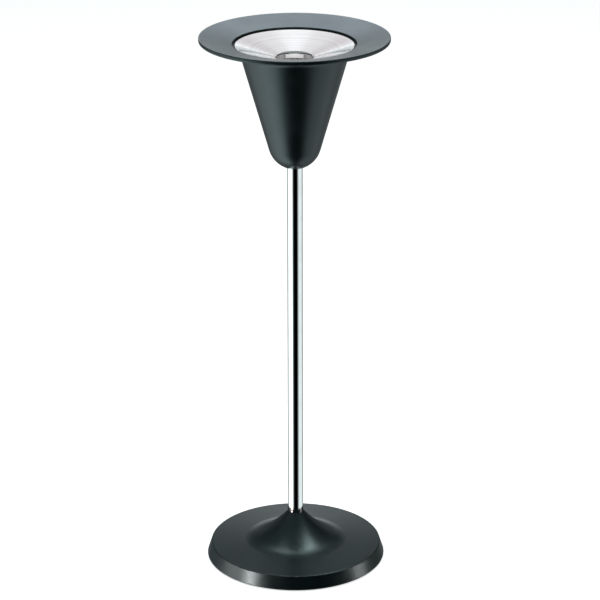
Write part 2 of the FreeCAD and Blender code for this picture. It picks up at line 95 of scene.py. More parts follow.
COVER_WALL = 3.0
CREASE_HEIGHT = 18.0
CREASE_INSET = 5.6
SKIRT_ROUND = 1.0
CREASE_ROUND = 1.6
CREASE_INSIDE_ROUND = 1.0
COVER_RISE = math.radians(3.5)
HUMP_FOOT_ANGLE = math.radians(32.6)
HUMP_FOOT_RADIUS = 37.0
HUMP_TOP_ANGLE = math.radians(50.6)
NECK_LAND = 0.5
BUSH_WALL = 1.8
BUSH_FLANGE = 1.5

WEIGHT_POCKET_RADIUS = 15.0
WEIGHT_POCKET_ROOF = 16.0
WEIGHT_BOLT_HOLE = 5.4
WEIGHT_GAP = 1.2
HUB_WALL = 9.0
HUB_DRAFT = 4.0
HUB_FILLET = 5.0
WEIGHT_DRAFT = 1.0
WEIGHT_ROUND = 1.5
PLATE_TOP = 4.5
BOSS_RADIUS = 5.0
BOSS_HOLE_RADIUS = 1.7
BOSS_HOLE_DEPTH = 5.5
BOSS_INSET = 17.0                  # circle of the bosses inside the skirt's foot
BOSS_COUNT = 4
BOSS_GAP = 1.0                     # under the cover's outer surface
FOOT_DRAFT = 1.0
GROOVE_PLACE = 0.71                # outside of the sole's groove, as a share of the foot's radius
GROOVE_WIDTH = 1.8
GROOVE_DEPTH = 0.5

FIT = 0.05
LOOSE = 0.6
REST_GAP = 0.3
EDGE = 0.3                         # round that breaks an edge
SOFT_EDGE = 0.8                    # rounder edge of a moulding or a lip


# ---------------------------------------------------------------- places, read from the CAD nodes

def extent(node):
    """Outer radius, lowest and highest height of a turned CAD node, in millimetres."""
    low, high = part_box(node)
    return high.x / MM, low.z / MM, high.z / MM


RIM_RADIUS, NOSE_LOW_Z, HEAD_TOP_Z = extent("head_shell")
RING_RADIUS, LEDGE_Z, SEAT_TOP_Z = extent("bowl_seat_ring")
BOWL_RADIUS, DROP_LOW_Z, BOWL_RIM_Z = extent("ash_bowl")
LIP_RADIUS, BOTTLE_FLOOR_Z, LIP_TOP_Z = extent("ash_bottle")
POLE_RADIUS, POLE_BOTTOM_Z, POLE_TOP_Z = extent("pole_tube")
SKIRT_RADIUS, SKIRT_LIFT, NECK_HEIGHT = extent("base_cover")
WEIGHT_RADIUS, WEIGHT_LOW_Z, HUB_TOP_Z = extent("base_weight")
GUIDE_RADIUS, BUSH_LOW_Z, BUSH_TOP_Z = extent("pole_guide_bush")

fall = math.tan(FLANGE_FALL)
SOCKET_RADIUS = POLE_RADIUS + FIT
RECESS_RADIUS = RING_RADIUS + FIT
# the flange's outer edge before it is rounded
EDGE_Z = HEAD_TOP_Z + RIM_TOP_ROUND * (1 / math.cos(FLANGE_FALL) + fall - 1)
RECESS_EDGE_Z = EDGE_Z - (RIM_RADIUS - RECESS_RADIUS) * fall
LEDGE_INNER_RADIUS = LIP_RADIUS + LOOSE
STEP_Z = LIP_TOP_Z - BOTTLE_LIP - REST_GAP
NOSE_Z = NOSE_LOW_Z + math.sqrt(NOSE_RADIUS ** 2 - SOCKET_RADIUS ** 2)
SHELL_FLOOR_Z = POLE_TOP_Z + CLAMP_THICKNESS

SKIRT_SLOPE = CREASE_INSET / (CREASE_HEIGHT - SKIRT_LIFT)
# the skirt's foot before it is rounded
BASE_RADIUS = SKIRT_RADIUS + SKIRT_ROUND * (math.hypot(1, SKIRT_SLOPE) + SKIRT_SLOPE - 1)
CREASE_RADIUS = BASE_RADIUS - CREASE_INSET


def flank_radius(z, inset=0.0):
    """Radius of the cone's flank at height z, moved inwards along its normal."""
    return (NOSE_RADIUS - inset + (z - NOSE_Z) * math.sin(CONE_LEAN)) / math.cos(CONE_LEAN)


# ---------------------------------------------------------------- turned meshes

SEGMENTS = 256                     # round the axis
ARC_STEP = math.radians(9.0)
LONGEST = 5.0                      # straight stretches are cut into pieces no longer than this
SUPPORT = 0.5                      # extra loop beside a rounded corner
SHARP = math.radians(32.0)
ON_AXIS = 1e-6


def arc(centre, start, end):
    """Points after start, round centre, the short way to end."""
    spoke, last = start - centre, end - centre
    sweep = math.atan2(spoke.x * last.y - spoke.y * last.x, spoke.dot(last))
    count = max(3, math.ceil(abs(sweep) / ARC_STEP), math.ceil(abs(sweep) * spoke.length / LONGEST))
    return [centre + Matrix.Rotation(sweep * i / count, 2) @ spoke for i in range(1, count + 1)]


def straight(start, end):
    """Points after start on the line to end, with a support loop near each end of a long stretch."""
    length = (end - start).length
    if length < 1e-6:
        return []
    shares = [0.0, 1.0]
    if length > 4 * SUPPORT:
        count = math.ceil(length / LONGEST)
        inner = SUPPORT / length
        shares = [0.0, inner, *(inner + (1 - 2 * inner) * i / count for i in range(1, count)), 1 - inner, 1.0]
    return [start.lerp(end, share) for share in shares[1:]]


def rounded(before, here, after, radius):
    """Start, centre and end of the round between two straight sides, and whether the corner sticks out."""
    back, ahead = (before - here).normalized(), (after - here).normalized()
    half = back.angle(ahead) / 2
    reach = radius / math.tan(half)
    centre = here + (back + ahead).normalized() * (radius / math.sin(half))
    sticks_out = back.x * ahead.y - back.y * ahead.x < 0
    return here + back * reach, centre, here + ahead * reach, sticks_out


def outline(steps):
    """Closed outline, counter-clockwise, as (point, worn) pairs.

    A step is (r, z), (r, z, corner radius), or ((r, z) of an arc's centre, (r, z) of its end).
    worn is 1 on rounded corners that stick out, where finish rubs off first.
    """
    ends = [Vector(s[1] if isinstance(s[0], tuple) else s[:2]) for s in steps]
    rounds = []
    for i, step in enumerate(steps):
        has_round = not isinstance(step[0], tuple) and len(step) == 3
        rounds.append(rounded(ends[i - 1], ends[i], ends[(i + 1) % len(steps)], step[2])
                      if has_round else None)
    here = rounds[-1][2] if rounds[-1] else ends[-1]
    points = []
    for step, end, corner in zip(steps, ends, rounds):
        if isinstance(step[0], tuple):
            points += [(p, 0.0) for p in arc(Vector(step[0]), here, end)]
            here = end
        elif corner:
            start, centre, finish, sticks_out = corner
            points += [(p, 0.0) for p in straight(here, start)]
            points += [(p, float(sticks_out)) for p in arc(centre, start, finish)]
            here = finish
        else:
            points += [(p, 0.0) for p in straight(here, end)]
            here = end
    return points


def turned_mesh(name, steps, segments=SEGMENTS, centre=(0.0, 0.0)):
    """Closed mesh of an outline turned about a vertical axis at centre, which is in metres."""
    places, wear, rings, faces = [], [], [], []
    for point, worn in outline(steps):
        count = 1 if point.x < ON_AXIS else segments
        rings.append([len(places) + i for i in range(count)])
        for i in range(count):
            angle = 2 * math.pi * i / count
            places.append((centre[0] + point.x * MM * math.cos(angle),
                           centre[1] + point.x * MM * math.sin(angle), point.y * MM))
        wear += [worn] * count
    for lower, upper in zip(rings, rings[1:] + rings[:1]):
        if len(lower) == len(upper) == 1:
            continue
        for i in range(segments):
            j = (i + 1) % segments
            if len(lower) == 1:
                faces.append((lower[0], upper[j], upper[i]))
            elif len(upper) == 1:
                faces.append((lower[i], lower[j], upper[0]))
            else:
                faces.append((lower[i], lower[j], upper[j], upper[i]))
    mesh = bpy.data.meshes.new(name)
    mesh.from_pydata(places, [], faces)
    mesh.attributes.new("worn", "FLOAT", "POINT").data.foreach_set("value", wear)
    mesh.validate()
    return mesh


def finish_mesh(mesh):
    """Smooth shading with crisp edges where two faces meet at a clear angle."""
    mesh.shade_smooth()
    mesh.set_sharp_from_angle(angle=SHARP)


def add_piece(name, mesh, body, material, node=None):
    """Shows a mesh on a CAD body in place of the CAD node of that name, or of node."""
    finish_mesh(mesh)
    piece = bpy.data.objects.new(name, mesh)
    bpy.context.scene.collection.objects.link(piece)
    mesh.materials.append(material)
    weighted = piece.modifiers.new("even_normals", "WEIGHTED_NORMAL")
    weighted.keep_sharp = True
    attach(piece, body)
    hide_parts(node or name)
    return piece


def joined(mesh, tools):
    """The mesh with tool meshes added ("UNION") or taken away ("DIFFERENCE"), in order."""
    target = bpy.data.objects.new("boolean_target", mesh)
    bpy.context.scene.collection.objects.link(target)
    made = []
    for operation, tool_mesh in tools:
        tool = bpy.data.objects.new("boolean_tool", tool_mesh)
        bpy.context.scene.collection.objects.link(tool)
        made.append(tool)
        cut = target.modifiers.new("boolean", "BOOLEAN")
        cut.operation, cut.solver, cut.object = operation, "EXACT", tool
    result = bpy.data.meshes.new_from_object(target.evaluated_get(bpy.context.evaluated_depsgraph_get()))
    for used in (target, *made):
        bpy.data.objects.remove(used)
    return result


# ---------------------------------------------------------------- outlines of the head

def on_nose(radius, angle):
    return radius * math.cos(angle), NOSE_Z + radius * math.sin(angle)


def head_outline():
    """Flange, collar, cone and nose in one moulding."""
    nose = (0.0, NOSE_Z)
    inside = NOSE_RADIUS - SHELL_WALL
    floor_radius = math.sqrt(inside ** 2 - (NOSE_Z - SHELL_FLOOR_Z) ** 2)
    collar_z = LEDGE_Z - COLLAR_FLOOR
    collar_radius = RECESS_RADIUS + COLLAR_WALL
    under_z = EDGE_Z - FLANGE_PLATE / math.cos(FLANGE_FALL)
    rim_inner = RIM_RADIUS - RIM_WIDTH
    return [
        (HEAD_BOLT_HOLE, POLE_TOP_Z),
        (SOCKET_RADIUS, POLE_TOP_Z),
        (SOCKET_RADIUS, NOSE_LOW_Z),
        (nose, on_nose(NOSE_RADIUS, -CONE_LEAN)),
        (flank_radius(collar_z), collar_z, FLARE_RADIUS),
        (collar_radius, collar_z, COLLAR_ROUND),
        (collar_radius, under_z - (RIM_RADIUS - collar_radius) * fall, COLLAR_ROUND),
        (rim_inner, under_z - RIM_WIDTH * fall, SOFT_EDGE),
        (rim_inner, EDGE_Z - RIM_HEIGHT, EDGE),
        (RIM_RADIUS, EDGE_Z - RIM_HEIGHT, RIM_LOW_ROUND),
        (RIM_RADIUS, EDGE_Z, RIM_TOP_ROUND),
        (RECESS_RADIUS, RECESS_EDGE_Z, SOFT_EDGE),
        (RECESS_RADIUS, LEDGE_Z, EDGE),
        (LEDGE_INNER_RADIUS, LEDGE_Z, EDGE),
        (LEDGE_INNER_RADIUS, STEP_Z, EDGE),
        (flank_radius(STEP_Z, SHELL_WALL), STEP_Z, EDGE),
        on_nose(inside, -CONE_LEAN),
        (nose, (floor_radius, SHELL_FLOOR_Z)),
        (HEAD_BOLT_HOLE, SHELL_FLOOR_Z),
    ]


def seat_ring_outline():
    inner = RING_RADIUS - SEAT_RING_WIDTH
    return [(inner, LEDGE_Z), (RING_RADIUS, LEDGE_Z, EDGE), (RING_RADIUS, SEAT_TOP_Z, EDGE),
            (inner, SEAT_TOP_Z)]


def bowl_outline():
    """Dish with a rolled rim and a short drop neck, one sheet thick."""
    bead = BOWL_BEAD / 2
    rim = Vector((BOWL_RADIUS - bead, BOWL_RIM_Z - bead))
    up = Vector((-math.sin(BOWL_SLOPE), math.cos(BOWL_SLOPE)))       # the dish's normal
    inwards = Vector((-math.cos(BOWL_SLOPE), -math.sin(BOWL_SLOPE)))
    sheet_start = rim + up * bead
    end_z = sheet_start.y - (sheet_start.x - DROP_RADIUS) * math.tan(BOWL_SLOPE)
    below = bead - BOWL_SHEET                           # the sheet's underside, from the bead's centre
    under_start = rim + up * below + inwards * math.sqrt(bead ** 2 - below ** 2)
    neck_out = DROP_RADIUS + BOWL_SHEET
    neck_z = end_z - BOWL_SHEET / math.cos(BOWL_SLOPE) + BOWL_SHEET * math.tan(BOWL_SLOPE)
    return [
        tuple(sheet_start),
        (DROP_RADIUS, end_z, DROP_ROUND),
        (DROP_RADIUS, DROP_LOW_Z, EDGE),
        (neck_out, DROP_LOW_Z, EDGE),
        (neck_out, neck_z, DROP_ROUND - BOWL_SHEET),
        tuple(under_start),
        (tuple(rim), (rim.x, rim.y - bead)),
        (tuple(rim), (rim.x + bead, rim.y)),
        (tuple(rim), tuple(sheet_start)),
    ]


def bottle_outline():
    """Tapered bottle with a turned-out lip and a rounded bottom."""
    outer = SHELL_WALL + BOTTLE_CLEARANCE
    inner = outer + BOTTLE_WALL
    lip_low = LIP_TOP_Z - BOTTLE_LIP
    floor_top = BOTTLE_FLOOR_Z + BOTTLE_WALL
    return [
        (0.0, BOTTLE_FLOOR_Z),
        (flank_radius(BOTTLE_FLOOR_Z, outer), BOTTLE_FLOOR_Z, BOTTLE_CORNER),
        (flank_radius(lip_low, outer), lip_low, SOFT_EDGE),
        (LIP_RADIUS, lip_low, EDGE),
        (LIP_RADIUS, LIP_TOP_Z, EDGE),
        (flank_radius(LIP_TOP_Z, inner), LIP_TOP_Z, SOFT_EDGE),
        (flank_radius(floor_top, inner), floor_top, BOTTLE_CORNER - BOTTLE_WALL),
        (0.0, floor_top),
    ]


def pole_outline():
    bore = POLE_RADIUS - POLE_WALL
    return [(bore, POLE_BOTTOM_Z), (POLE_RADIUS, POLE_BOTTOM_Z, EDGE), (POLE_RADIUS, POLE_TOP_Z, EDGE),
            (bore, POLE_TOP_Z)]


# ---------------------------------------------------------------- outlines of the base

def hump_arcs(inset=0.0):
    """The two arcs of the hump as (centre, start, end), moved inwards by a wall.

    The first arc leaves a straight rise from the crease, and the second ends at the neck. Their places follow
    from where the crease and the neck are.
    """
    angles = (COVER_RISE, HUMP_FOOT_ANGLE, HUMP_TOP_ANGLE)
    sines, cosines = [math.sin(a) for a in angles], [math.cos(a) for a in angles]
    across = CREASE_RADIUS - POLE_RADIUS - NECK_LAND - HUMP_FOOT_RADIUS * (sines[1] - sines[0])
    up = NECK_HEIGHT - CREASE_HEIGHT - HUMP_FOOT_RADIUS * (cosines[0] - cosines[1])
    run, lift = sines[2] - sines[1], cosines[1] - cosines[2]
    scale = cosines[0] * lift - sines[0] * run
    rise_length = (across * lift - up * run) / scale
    top_radius = (up * cosines[0] - across * sines[0]) / scale
    here = Vector((CREASE_RADIUS - rise_length * cosines[0], CREASE_HEIGHT + rise_length * sines[0]))
    arcs = []
    for i, radius in enumerate((HUMP_FOOT_RADIUS, top_radius)):
        centre = here + Vector((sines[i], cosines[i])) * radius
        start, end = (centre - Vector((sines[k], cosines[k])) * (radius + inset) for k in (i, i + 1))
        arcs.append((centre, start, end))
        here = centre - Vector((sines[i + 1], cosines[i + 1])) * radius
    return arcs


def skirt_radius(z, inset=0.0):
    """Radius of the skirt at height z, moved inwards along its normal."""
    return BASE_RADIUS - (z - SKIRT_LIFT) * SKIRT_SLOPE - inset * math.hypot(1, SKIRT_SLOPE)


def crease_point(inset):
    """Where the skirt meets the rise, both moved inwards along their normals."""
    rise = math.tan(COVER_RISE)
    level = CREASE_HEIGHT - inset / math.cos(COVER_RISE)
    z = (level + (CREASE_RADIUS - skirt_radius(0, inset)) * rise) / (1 - SKIRT_SLOPE * rise)
    return skirt_radius(z, inset), z


def on_circle_at(centre, radius, r):
    """Lower point of a circle at distance r from the axis."""
    return r, centre.y - math.sqrt(radius ** 2 - (centre.x - r) ** 2)


def cover_outline():
    """Skirt, crease, rise and hump, one wall thick, with the tube that holds the pole's bush."""
    foot, top = hump_arcs()
    foot_in, top_in = hump_arcs(COVER_WALL)
    bush_seat = SOCKET_RADIUS + BUSH_WALL + FIT
    guide_low = BUSH_LOW_Z + BUSH_FLANGE
    guide_top = on_circle_at(top_in[0], (top_in[2] - top_in[0]).length, GUIDE_RADIUS)
    return [
        (skirt_radius(SKIRT_LIFT, COVER_WALL), SKIRT_LIFT),
        (BASE_RADIUS, SKIRT_LIFT, SKIRT_ROUND),
        (CREASE_RADIUS, CREASE_HEIGHT, CREASE_ROUND),
        tuple(foot[1]),
        (tuple(foot[0]), tuple(foot[2])),
        (tuple(top[0]), tuple(top[2])),
        (SOCKET_RADIUS, NECK_HEIGHT),
        (SOCKET_RADIUS, BUSH_TOP_Z),
        (bush_seat, BUSH_TOP_Z),
        (bush_seat, guide_low),
        (GUIDE_RADIUS, guide_low),
        guide_top,
        (tuple(top_in[0]), tuple(top_in[1])),
        (tuple(foot_in[0]), tuple(foot_in[1])),
        (*crease_point(COVER_WALL), CREASE_INSIDE_ROUND),
    ]


def weight_outline():
    """Cast disc with a hub that the pole stands in and a pocket for the bolt's head."""
    hub_radius = WEIGHT_POCKET_RADIUS + HUB_WALL
    inner_crease = Vector(crease_point(COVER_WALL))
    top = inner_crease.y + (inner_crease.x - WEIGHT_RADIUS) * math.tan(COVER_RISE) - WEIGHT_GAP
    return [
        (WEIGHT_BOLT_HOLE, WEIGHT_POCKET_ROOF),
        (WEIGHT_POCKET_RADIUS, WEIGHT_POCKET_ROOF, SOFT_EDGE),
        (WEIGHT_POCKET_RADIUS, WEIGHT_LOW_Z),
        (WEIGHT_RADIUS, WEIGHT_LOW_Z, SOFT_EDGE),
        (WEIGHT_RADIUS - WEIGHT_DRAFT, top, WEIGHT_ROUND),
        (hub_radius + HUB_DRAFT, top, HUB_FILLET),
        (hub_radius, HUB_TOP_Z, WEIGHT_ROUND),
        (SOCKET_RADIUS, HUB_TOP_Z, EDGE),
        (SOCKET_RADIUS, POLE_BOTTOM_Z),
        (WEIGHT_BOLT_HOLE, POLE_BOTTOM_Z),
    ]


def cover_mesh():
    """The cover with its four screw bosses and their pilot holes."""
    circle = (BASE_RADIUS - BOSS_INSET) * MM
    boss_top = CREASE_HEIGHT - BOSS_GAP
    tools = []
    for i in range(BOSS_COUNT):
        angle = 2 * math.pi * (i + 0.5) / BOSS_COUNT
        centre = (circle * math.cos(angle), circle * math.sin(angle))
        boss = [(0.0, PLATE_TOP), (BOSS_RADIUS, PLATE_TOP, EDGE), (BOSS_RADIUS, boss_top), (0.0, boss_top)]
        hole_low, hole_top = PLATE_TOP - BOSS_GAP, PLATE_TOP + BOSS_HOLE_DEPTH
        hole = [(0.0, hole_low), (BOSS_HOLE_RADIUS, hole_low), (BOSS_HOLE_RADIUS, hole_top), (0.0, hole_top)]
        tools.append(("UNION", turned_mesh("boss", boss, 48, centre)))
        tools.append(("DIFFERENCE", turned_mesh("boss_hole", hole, 32, centre)))
    return joined(turned_mesh("base_cover", cover_outline()), tools)


def foot_outline(radius, low, high):
    """Rubber foot with a shallow ring groove moulded in its sole."""
    groove = radius * GROOVE_PLACE
    return [
        (0.0, low),
        (groove - GROOVE_WIDTH, low, EDGE),
        (groove - GROOVE_WIDTH + GROOVE_DEPTH, low + GROOVE_DEPTH),
        (groove - GROOVE_DEPTH, low + GROOVE_DEPTH),
        (groove, low, EDGE),
        (radius - FOOT_DRAFT, low, EDGE),
        (radius, high),
        (0.0, high),
    ]


# ---------------------------------------------------------------- materials

class Graph:
    """One node material: adds nodes and links or sets their inputs."""

    def __init__(self, name):
        self.material = bpy.data.materials.new(name)
        self.material.use_nodes = True
        self.tree = self.material.node_tree
        self.surface = self.tree.nodes["Principled BSDF"]
        self.place = self.add("ShaderNodeTexCoord").outputs["Object"]

    def put(self, socket, value):
        if isinstance(value, bpy.types.NodeSocket):
            self.tree.links.new(value, socket)
        else:
            socket.default_value = value

    def add(self, kind, inputs=None, **settings):
        node = self.tree.nodes.new(kind)
        for key, value in settings.items():
            setattr(node, key, value)
        for key, value in (inputs or {}).items():
            self.put(node.inputs[key], value)
        return node

    def principled(self, **values):
        for key, value in values.items():
            self.put(self.surface.inputs[key.replace("_", " ")], value)

    def math(self, operation, *values):
        node = self.add("ShaderNodeMath", operation=operation)
        for socket, value in zip(node.inputs, values):
            self.put(socket, value)
        return node.outputs[0]

    def noise(self, scale, detail=2.0, roughness=0.5, stretch=None, place=None):
        place = place or self.place
        if stretch:
            place = self.add("ShaderNodeMapping", {"Vector": place, "Scale": stretch}).outputs[0]
        inputs = {"Vector": place, "Scale": scale, "Detail": detail, "Roughness": roughness}
        return self.add("ShaderNodeTexNoise", inputs).outputs["Fac"]

    def ranged(self, value, low, high, new_low, new_high):
        """Maps low to high onto new_low to new_high, with soft ends."""
        inputs = {"Value": value, 1: low, 2: high, 3: new_low, 4: new_high}
        return self.add("ShaderNodeMapRange", inputs, interpolation_type="SMOOTHSTEP").outputs[0]

    def mixed(self, share, first, second):
        node = self.add("ShaderNodeMix", data_type="RGBA")
        for index, value in ((0, share), (6, first), (7, second)):
            self.put(node.inputs[index], value)
        return node.outputs[2]

    def bumped(self, height, depth, strength=1.0, under=None):
        """Bump whose height of 1 stands for depth in metres."""
        inputs = {"Height": height, "Distance": depth, "Strength": strength}
        if under:
            inputs["Normal"] = under
        return self.add("ShaderNodeBump", inputs).outputs[0]

    def worn(self, scale, low, high):
        """Patchy mask along outer corners."""
        mask = self.add("ShaderNodeAttribute", attribute_name="worn").outputs["Fac"]
        patches = self.ranged(self.noise(scale, 4.0, 0.6), low, high, 0.0, 1.0)
        return self.math("MULTIPLY", mask, patches)

    def radius(self):
        """Distance from the vertical axis."""
        split = self.add("ShaderNodeSeparateXYZ", {"Vector": self.place})
        squares = [self.math("MULTIPLY", split.outputs[i], split.outputs[i]) for i in (0, 1)]
        return self.math("SQRT", self.math("ADD", *squares))

    def rings(self, scale, detail=3.0):
        """Lathe lines: noise that changes only with the distance from the axis and the height."""
        split = self.add("ShaderNodeSeparateXYZ", {"Vector": self.place})
        along = self.math("ADD", self.radius(), self.math("MULTIPLY", split.outputs[2], 0.6))
        inputs = {"W": along, "Scale": scale, "Detail": detail, "Roughness": 0.6}
        return self.add("ShaderNodeTexNoise", inputs, noise_dimensions="1D").outputs["Fac"]


def grey(value, tint=(1.0, 1.0, 1.0)):
    return tuple(value * t for t in tint) + (1.0,)


BLACK = (0.0008, 0.0030, 0.0034, 1.0)
BLACK_LIGHTER = (0.0016, 0.0048, 0.0054, 1.0)
BLACK_WORN = (0.03, 0.037, 0.038, 1.0)


def satin_black(name, gloss_tint):
    """Moulded black plastic: fine leather-like grain, faint mottling and rubbed corners."""
    g = Graph(name)
    mottle = g.noise(38.0, 4.0, 0.55)
    worn = g.worn(260.0, 0.5, 0.68)
    body = g.mixed(g.ranged(mottle, 0.35, 0.7, 0.0, 1.0), BLACK, BLACK_LIGHTER)
    rough = g.ranged(mottle, 0.3, 0.7, 0.29, 0.34)
    grain = g.noise(1500.0, 3.0, 0.6)
    waves = g.noise(120.0, 2.0)
    bump = g.bumped(grain, 0.00004, 0.5, g.bumped(waves, 0.00006, 0.35))
    g.principled(Base_Color=g.mixed(worn, body, BLACK_WORN), Normal=bump, Specular_Tint=gloss_tint,
                 Roughness=g.math("ADD", rough, g.math("MULTIPLY", worn, 0.1)))
    return g.material


def chrome(name):
    """Plated tube: nearly a mirror, with faint polishing lines along it."""
    g = Graph(name)
    lines = g.noise(1.0, 3.0, 0.6, (1400.0, 1400.0, 9.0))
    haze = g.noise(60.0, 4.0, 0.6)
    tone = g.mixed(g.ranged(haze, 0.4, 0.75, 0.0, 1.0), grey(0.86, (0.99, 1.0, 1.0)),
                   grey(0.78, (1.0, 0.99, 0.97)))
    rough = g.math("ADD", g.ranged(lines, 0.35, 0.7, 0.045, 0.085), g.ranged(haze, 0.5, 0.8, 0.0, 0.05))
    g.principled(Base_Color=tone, Metallic=1.0, Roughness=rough, Normal=g.bumped(lines, 0.000004, 0.6))
    return g.material


def polished_aluminium(name):
    """Buffed dish: fine lathe lines, soft buffing haze and light handling marks."""
    g = Graph(name)
    rings = g.rings(2600.0)
    broad = g.rings(220.0, 2.0)
    haze = g.noise(55.0, 5.0, 0.6)
    marks = g.ranged(g.noise(420.0, 2.0, 0.5, (1.0, 0.12, 1.0)), 0.62, 0.72, 0.0, 1.0)
    rough = g.math("ADD", g.ranged(haze, 0.3, 0.75, 0.075, 0.15), g.math("MULTIPLY", marks, 0.08))
    rough = g.math("ADD", rough, g.ranged(rings, 0.3, 0.7, 0.0, 0.04))
    tone = g.mixed(g.ranged(broad, 0.35, 0.65, 0.0, 1.0), grey(0.93, (1.0, 1.0, 1.005)),
                   grey(0.86, (1.0, 0.995, 0.98)))
    bump = g.bumped(rings, 0.0000035, 0.6, g.bumped(broad, 0.00002, 0.35))
    g.principled(Base_Color=tone, Metallic=1.0, Roughness=rough, Normal=bump)
    return g.material


def spun_aluminium(name):
    """Bottle as it left the spinning lathe: clear rings, satin, and long streaks of darker tone along its
    height.
    """
    g = Graph(name)
    rings = g.rings(900.0, 4.0)
    haze = g.noise(40.0, 5.0, 0.6)
    streaks = g.noise(1.0, 3.0, 0.6, (160.0, 160.0, 12.0))
    tone = g.mixed(g.ranged(streaks, 0.35, 0.7, 0.0, 1.0), grey(0.72), grey(0.58, (1.0, 0.99, 0.97)))
    rough = g.math("ADD", g.ranged(haze, 0.3, 0.75, 0.22, 0.34), g.ranged(rings, 0.3, 0.7, 0.0, 0.08))
    g.principled(Base_Color=tone, Metallic=1.0, Roughness=rough, Normal=g.bumped(rings, 0.00002, 0.7))
    return g.material


def black_rubber(name):
    """Matt rubber with a dusty bloom."""
    g = Graph(name)
    bloom = g.noise(180.0, 5.0, 0.65)
    tone = g.mixed(g.ranged(bloom, 0.45, 0.75, 0.0, 1.0), grey(0.010, (0.9, 1.0, 1.03)), grey(0.026))
    pores = g.noise(1900.0, 3.0, 0.6)
    g.principled(Base_Color=tone, Roughness=g.ranged(bloom, 0.3, 0.7, 0.62, 0.82),
                 Normal=g.bumped(pores, 0.00006, 0.6))
    return g.material


def zinc_steel(name):
    """Zinc-plated fastener: patchy, slightly blue and yellow."""
    g = Graph(name)
    patch = g.noise(320.0, 4.0, 0.6)
    tone = g.mixed(g.ranged(patch, 0.4, 0.62, 0.0, 1.0), grey(0.60, (0.97, 1.0, 1.05)),
                   grey(0.50, (1.06, 1.0, 0.88)))
    scuffs = g.noise(1.0, 3.0, 0.6, (700.0, 700.0, 2600.0))
    g.principled(Base_Color=tone, Metallic=1.0, Roughness=g.ranged(patch, 0.3, 0.7, 0.26, 0.44),
                 Normal=g.bumped(scuffs, 0.00001, 0.6))
    return g.material


def turned_steel(name):
    """Bare turned plug: tool marks round the axis and an oily darkening."""
    g = Graph(name)
    rings = g.rings(3200.0)
    oil = g.noise(150.0, 4.0, 0.6)
    tone = g.mixed(g.ranged(oil, 0.4, 0.7, 0.0, 1.0), grey(0.46), grey(0.27, (1.05, 1.0, 0.92)))
    g.principled(Base_Color=tone, Metallic=1.0, Roughness=g.ranged(oil, 0.3, 0.7, 0.28, 0.45),
                 Normal=g.bumped(rings, 0.00001, 0.8))
    return g.material


def nylon(name):
    """Natural nylon bush: milky, with a faint moulded grain."""
    g = Graph(name)
    cloud = g.noise(90.0, 3.0)
    tone = g.mixed(g.ranged(cloud, 0.35, 0.7, 0.0, 1.0), (0.80, 0.78, 0.71, 1.0), (0.70, 0.68, 0.60, 1.0))
    g.principled(Base_Color=tone, Roughness=g.ranged(cloud, 0.3, 0.7, 0.40, 0.52), Subsurface_Weight=0.15,
                 Subsurface_Scale=0.002, Normal=g.bumped(g.noise(1200.0, 3.0), 0.00003, 0.5))
    return g.material


def cast_iron(name):
    """Sand-cast weight under a thin grey paint."""
    g = Graph(name)
    sand = g.noise(700.0, 5.0, 0.7)
    lumps = g.noise(90.0, 3.0, 0.6)
    tone = g.mixed(g.ranged(lumps, 0.35, 0.7, 0.0, 1.0), grey(0.055, (0.95, 1.0, 1.04)),
                   grey(0.085, (1.1, 1.0, 0.92)))
    bump = g.bumped(sand, 0.0003, 0.6, g.bumped(lumps, 0.0006, 0.4))
    g.principled(Base_Color=tone, Roughness=g.ranged(sand, 0.3, 0.7, 0.5, 0.72), Metallic=0.2, Normal=bump)
    return g.material


def galvanised_sheet(name):
    """Zinc-coated plate with its crystal pattern and rolling lines."""
    g = Graph(name)
    cells = g.add("ShaderNodeTexVoronoi", {"Vector": g.place, "Scale": 190.0, "Randomness": 1.0})
    shade = g.add("ShaderNodeSeparateColor", {"Color": cells.outputs["Color"]}).outputs[0]
    rolled = g.noise(1.0, 3.0, 0.6, (30.0, 1800.0, 30.0))
    tone = g.mixed(shade, grey(0.50, (0.98, 1.0, 1.02)), grey(0.36, (0.98, 1.0, 1.03)))
    rough = g.math("ADD", g.math("MULTIPLY", shade, 0.12), g.ranged(rolled, 0.3, 0.7, 0.34, 0.42))
    g.principled(Base_Color=tone, Metallic=0.9, Roughness=rough, Normal=g.bumped(rolled, 0.00001, 0.6))
    return g.material


# ---------------------------------------------------------------- pieces

def dress(material, *nodes):
    """Gives CAD nodes that stay a material in place of their plain one."""
    for node in nodes:
        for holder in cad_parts[node].material_slots:
            holder.material = material


def make_head():
    shell = satin_black("satin_black_head", (0.80, 1.0, 1.02, 1.0))
    add_piece("head_shell_turned", turned_mesh("head_shell", head_outline()), "stand", shell,
              "head_shell")
    add_piece("bowl_seat_ring_turned", turned_mesh("bowl_seat_ring", seat_ring_outline()), "stand",
              black_rubber("rubber_seat"), "bowl_seat_ring")
    add_piece("ash_bottle_turned", turned_mesh("ash_bottle", bottle_outline(), 192), "bottle",
              spun_aluminium("spun_aluminium"), "ash_bottle")
    add_piece("ash_bowl_turned", turned_mesh("ash_bowl", bowl_outline()), "bowl",
              polished_aluminium("polished_aluminium"), "ash_bowl")


def make_pole():
    add_piece("pole_tube_turned", turned_mesh("pole_tube", pole_outline(), 128), "stand",
              chrome("chrome"), "pole_tube")


